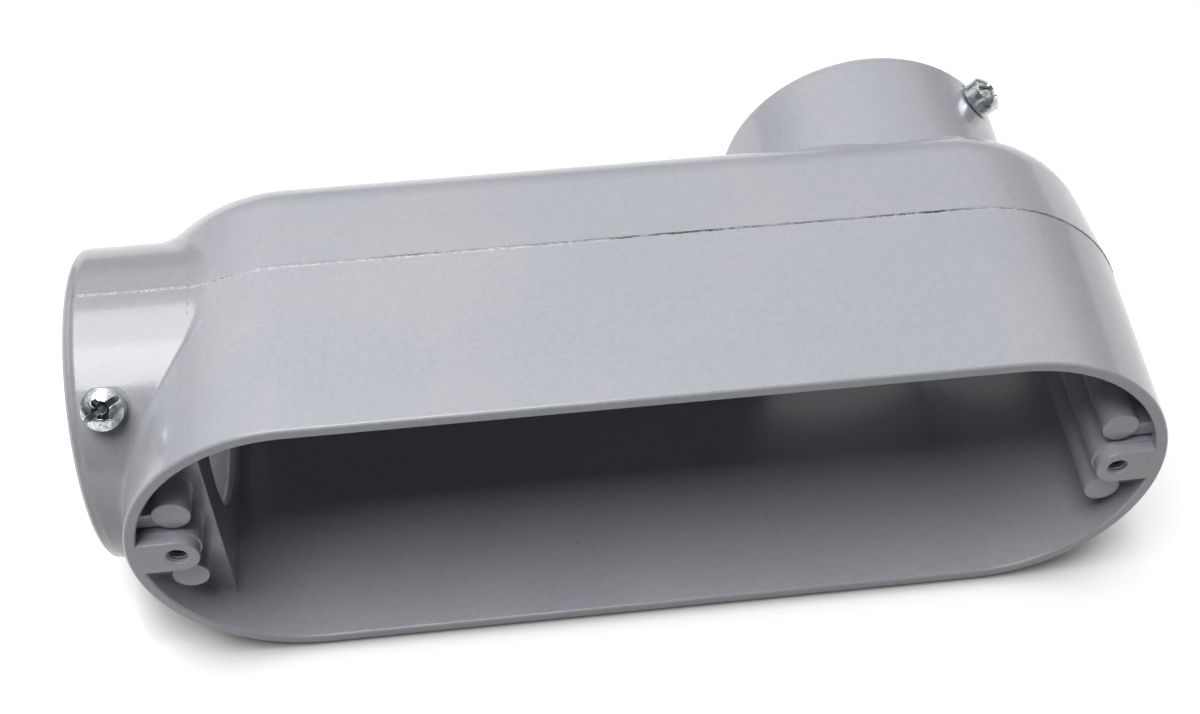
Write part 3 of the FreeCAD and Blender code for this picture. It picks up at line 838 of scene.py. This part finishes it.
def dome_height(radius):
    """Height of the bare dome: a sphere's cap over the head's side."""
    cap = HEAD_TOP - HEAD_SIDE
    ball = (HEAD_RADIUS ** 2 + cap ** 2) / (2 * cap)
    return HEAD_TOP - ball + np.sqrt(ball ** 2 - np.clip(radius, 0, HEAD_RADIUS) ** 2)


def head_height(x, y):
    """Height of the head: the dome, cut to the slot's floor, then to the cross's arms, whose
    floors rise outwards, then to the punch's cone in the middle."""
    height = cut(dome_height(np.hypot(x, y)), HEAD_TOP - SLOT_DEPTH, band(y, SLOT_HALF_WIDTH, SLOT_BLUR))
    for along, across in ((x, y), (y, x)):
        floor = HEAD_TOP - CROSS_DEPTH + np.clip(np.abs(along) - CROSS_FLAT, 0, None) * CROSS_SLOPE
        arm = band(across, CROSS_HALF_WIDTH - CROSS_TAPER * np.abs(along), CROSS_SIDE_BLUR)
        height = cut(height, floor, arm * band(along, CROSS_REACH, CROSS_END_BLUR))
    cone = HEAD_TOP - CROSS_DEPTH + np.clip(np.hypot(x, y) - BOWL_FLAT, 0, None) * BOWL_SLOPE
    return np.minimum(height, cone)


# %% The whole screw, and its place
SHANK_RADIUS, SHANK_ROOT, SHANK_PITCH = 3.95, 3.25, 25.4 / 18
SHANK_LENGTH = 3.84
POINT_RADIUS = 3.2
EDGE_ROUND, EDGE_DROP = 0.12, 0.02
FOOT_ROUND = 0.3
SIDE_HEIGHTS = [[3.4], [0.35]]
# How the struck depth becomes painted shade, and the shank's even painted shade.
STRUCK_START, STRUCK_SPAN = 0.25, 1.2
SHANK_SHADE = 0.6
SEATED = 48.8 * MM


def screw_grid(rings=90, columns=300, shank_rows=90):
    """Rows of points from the head's middle, over its side and underside, down the shank to the
    point's middle: radius, turn and height, and the painted shade at each point."""
    turn = np.linspace(0, 2 * np.pi, columns, endpoint=False)
    whole_row = np.ones(columns)
    disc = np.linspace(0, HEAD_RADIUS - EDGE_ROUND, rings)[:, None] * whole_row
    top = head_height(disc * np.cos(turn), disc * np.sin(turn))
    edge = np.linspace(0.2, np.pi / 2, 5)[:, None] * whole_row
    edge_radius = HEAD_RADIUS - EDGE_ROUND + EDGE_ROUND * np.sin(edge)
    edge_height = top[-1] - EDGE_ROUND + EDGE_ROUND * np.cos(edge) - EDGE_DROP
    side_height = np.array(SIDE_HEIGHTS) * whole_row
    side_radius = np.full_like(side_height, HEAD_RADIUS)
    foot = np.linspace(0, np.pi / 2, 6)[:, None] * whole_row
    foot_radius = HEAD_RADIUS - FOOT_ROUND + FOOT_ROUND * np.cos(foot)
    foot_height = FOOT_ROUND - FOOT_ROUND * np.sin(foot)
    down = np.linspace(0, SHANK_LENGTH, shank_rows)[:, None] * whole_row
    shank = thread_radius(down, turn * np.ones_like(down), SHANK_ROOT, SHANK_RADIUS, SHANK_PITCH)
    shank = np.minimum(shank, POINT_RADIUS + (SHANK_LENGTH - down))
    middle = np.zeros((1, columns))
    radius = np.concatenate([disc, edge_radius, side_radius, foot_radius, shank, middle])
    height = np.concatenate([top, edge_height, side_height, foot_height, -down, middle - SHANK_LENGTH])
    painted_shade = np.zeros_like(radius)
    # Painted shade on the head by how deep it is struck, and an even painted shade on the shank.
    painted_shade[:rings] = np.clip((dome_height(disc) - top - STRUCK_START) / STRUCK_SPAN, 0, 1)
    painted_shade[-shank_rows - 1:] = SHANK_SHADE
    return radius, turn * np.ones_like(radius), height, painted_shade


def set_screw(node, body, hub_point, hub_way_out, head_turn):
    """Stand a detailed screw where its CAD node is, turned about its axis by an angle.

    The screw's axis crosses the hub's axis at the point that is level with the CAD screw.
    """
    slide = next(item for item in frame["joints"] if item["name"] == node + "_travel")
    way_out = np.array(slide["axis"], float)
    way_out /= np.linalg.norm(way_out)
    low, high = (np.array(corner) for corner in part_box(node))
    hub_point, hub_way_out = np.array(hub_point, float), np.array(hub_way_out, float)
    start = hub_point + hub_way_out * np.dot((low + high) / 2 - hub_point, hub_way_out)
    side = np.cross(hub_way_out, way_out)
    side /= np.linalg.norm(side)
    radius, turn, height, painted_shade = screw_grid()
    points = ring_grid(radius * MM, height * MM, turn + head_turn, start + way_out * SEATED, way_out, side)
    piece = surface_piece(node + "_detail", [(points, False, True)], body, zinc, painted_shade)
    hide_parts(node)
    flat = points.reshape(-1, 3)
    apart = max(np.abs(flat.min(axis=0) - low).max(), np.abs(flat.max(axis=0) - high).max())
    print(node, "keeps its CAD box to within %.2f mm" % (apart / MM))
    return piece


set_screw("run_hub_set_screw", "run_screw", hub_point=(0.0, PARTING_Y, AXIS_Z),
          hub_way_out=(-1.0, 0.0, 0.0), head_turn=math.radians(122))
set_screw("back_hub_set_screw", "back_screw", hub_point=(BACK_HUB_X, 0.0, AXIS_Z),
          hub_way_out=(0.0, 1.0, 0.0), head_turn=math.radians(20))

# %% [markdown]
# ## Floor and light
#
# The body lies on a white table in a white room, under two wide softboxes that hang 1.9 m up
# and to the left.  The rear one lights the back and the top; the front one is stronger and
# reaches the box's front and the chamber's lower wall, and leaves the chamber's depth dark.
#
# The table glows where the sky above it is open, which makes it white to the eye and in gloss.
# Close to the casting, where ambient occlusion finds the sky covered, the glow fades: a painted
# contact shadow.  Far from it a little is added so that the table's end doesn't show.  It
# throws little light back.
# The room is white to the eye.  Gloss sees it dimmer near the horizon and towards the front,
# and plain surfaces hardly see it at all: they are lit by the softboxes.

# %% The table
TABLE_HALF = 4.0
TABLE_DROP = 0.02 * MM
THROWN_GREY, SEEN_GREY = (0.20, 0.20, 0.20, 1), (0.52, 0.52, 0.52, 1)
CONTACT_REACH = 0.03
COVERED_GLOW, OPEN_GLOW, FAR_GLOW = 0.06, 0.68, 0.32
FAR_START, FAR_FULL = 0.5, 2.0
WHITE = (1, 1, 1, 1)


def ray_masks(tree):
    """1 for rays straight from the camera; 1 for rays off gloss or through glass; 1 for either."""
    rays = add_node(tree, "LightPath").outputs
    mirrored = maths(tree, "MAXIMUM", rays["Is Glossy Ray"], rays["Is Transmission Ray"])
    return rays["Is Camera Ray"], mirrored, maths(tree, "MAXIMUM", rays["Is Camera Ray"], mirrored)


def table_white():
    """White table: lit white for the eye and in gloss, dimmer for light it would throw back."""
    material, tree, output = new_material("white_table")
    _, _, seen = ray_masks(tree)
    lit = add_node(tree, "BsdfDiffuse", {"Color": blend_colours(tree, seen, THROWN_GREY, SEEN_GREY)})
    open_sky = add_node(tree, "AmbientOcclusion", {"Distance": CONTACT_REACH}, samples=8).outputs["AO"]
    away = add_node(tree, "VectorMath", {0: add_node(tree, "TexCoord").outputs["Object"]}, operation="LENGTH")
    # The glow's fade near the casting is a painted contact shadow.
    lift = maths(tree, "ADD", between(tree, open_sky, 0.4, 0.95, COVERED_GLOW, OPEN_GLOW),
                 between(tree, away.outputs["Value"], FAR_START, FAR_FULL, 0.0, FAR_GLOW))
    glow = add_node(tree, "Emission", {"Color": WHITE, "Strength": maths(tree, "MULTIPLY", seen, lift)})
    both = add_node(tree, "AddShader", {0: lit.outputs[0], 1: glow.outputs[0]})
    tree.links.new(both.outputs[0], output.inputs["Surface"])
    return material


table_corners = [(x * TABLE_HALF, y * TABLE_HALF, 0) for x, y in ((-1, -1), (1, -1), (1, 1), (-1, 1))]
table_mesh = bpy.data.meshes.new("table")
table_mesh.from_pydata(table_corners, [], [(0, 1, 2, 3)])
table_mesh.materials.append(table_white())
table = bpy.data.objects.new("table", table_mesh)
table.location.z = -TABLE_DROP
bpy.context.scene.collection.objects.link(table)
print("table:", 2 * TABLE_HALF, "m across")

# %% The room
HORIZON_WHITE, OVERHEAD_WHITE = 0.3, 0.95
FRONT_WHITE = 0.25
PLAIN_WHITE = 0.005

world = bpy.data.worlds.new("studio")
bpy.context.scene.world = world
world.use_nodes = True
room = world.node_tree
room.nodes.clear()
straight, mirrored, seen = ray_masks(room)
direction = add_node(room, "SeparateXYZ", {0: add_node(room, "TexCoord").outputs["Generated"]}).outputs
ceiling = between(room, direction["Z"], 0.25, 0.5, HORIZON_WHITE, OVERHEAD_WHITE)
from_back = between(room, direction["Y"], -0.5, 0.3, FRONT_WHITE, 1.0)
gloss = product(room, mirrored, ceiling, from_back)
plain = maths(room, "MULTIPLY", maths(room, "SUBTRACT", 1.0, seen), PLAIN_WHITE)
strength = maths(room, "ADD", maths(room, "MAXIMUM", straight, gloss), plain)
sky = add_node(room, "Background", {"Color": WHITE, "Strength": strength})
add_node(room, "OutputWorld", {0: sky.outputs[0]})
print("room nodes:", len(room.nodes))

# %% The lamps
LAMP_X = -0.5
LAMP_HEIGHT = 1.9
LAMP_WIDTH = 1.2


def softbox(name, y, depth, power):
    """A rectangular area lamp that hangs over a place and faces straight down."""
    lamp = bpy.data.lights.new(name, "AREA")
    lamp.shape = "RECTANGLE"
    lamp.size, lamp.size_y, lamp.energy = LAMP_WIDTH, depth, power
    holder = bpy.data.objects.new(name, lamp)
    bpy.context.scene.collection.objects.link(holder)
    holder.location = (LAMP_X, y, LAMP_HEIGHT)
    holder.rotation_euler = Vector((0.0, 0.0, -1.0)).to_track_quat("-Z", "Y").to_euler()
    return holder


softbox("rear_softbox", y=0.50, depth=1.02, power=16.9)
softbox("front_softbox", y=-0.54, depth=1.06, power=29.3)

# %% The camera
camera_data = bpy.data.cameras.new("camera")
camera = bpy.data.objects.new("camera", camera_data)
bpy.context.scene.collection.objects.link(camera)
camera.location = (-0.03629, -0.39605, 0.48660)
camera.rotation_euler = tuple(math.radians(angle) for angle in (38.322, -0.186, -6.937))
camera_data.sensor_width = 36.0
camera_data.lens = 54.179
camera_data.shift_x = -0.04672
camera_data.shift_y = 0.09616
bpy.context.scene.camera = camera
bpy.context.scene.view_settings.view_transform = "Standard"
print("camera lens %.1f mm" % camera_data.lens)
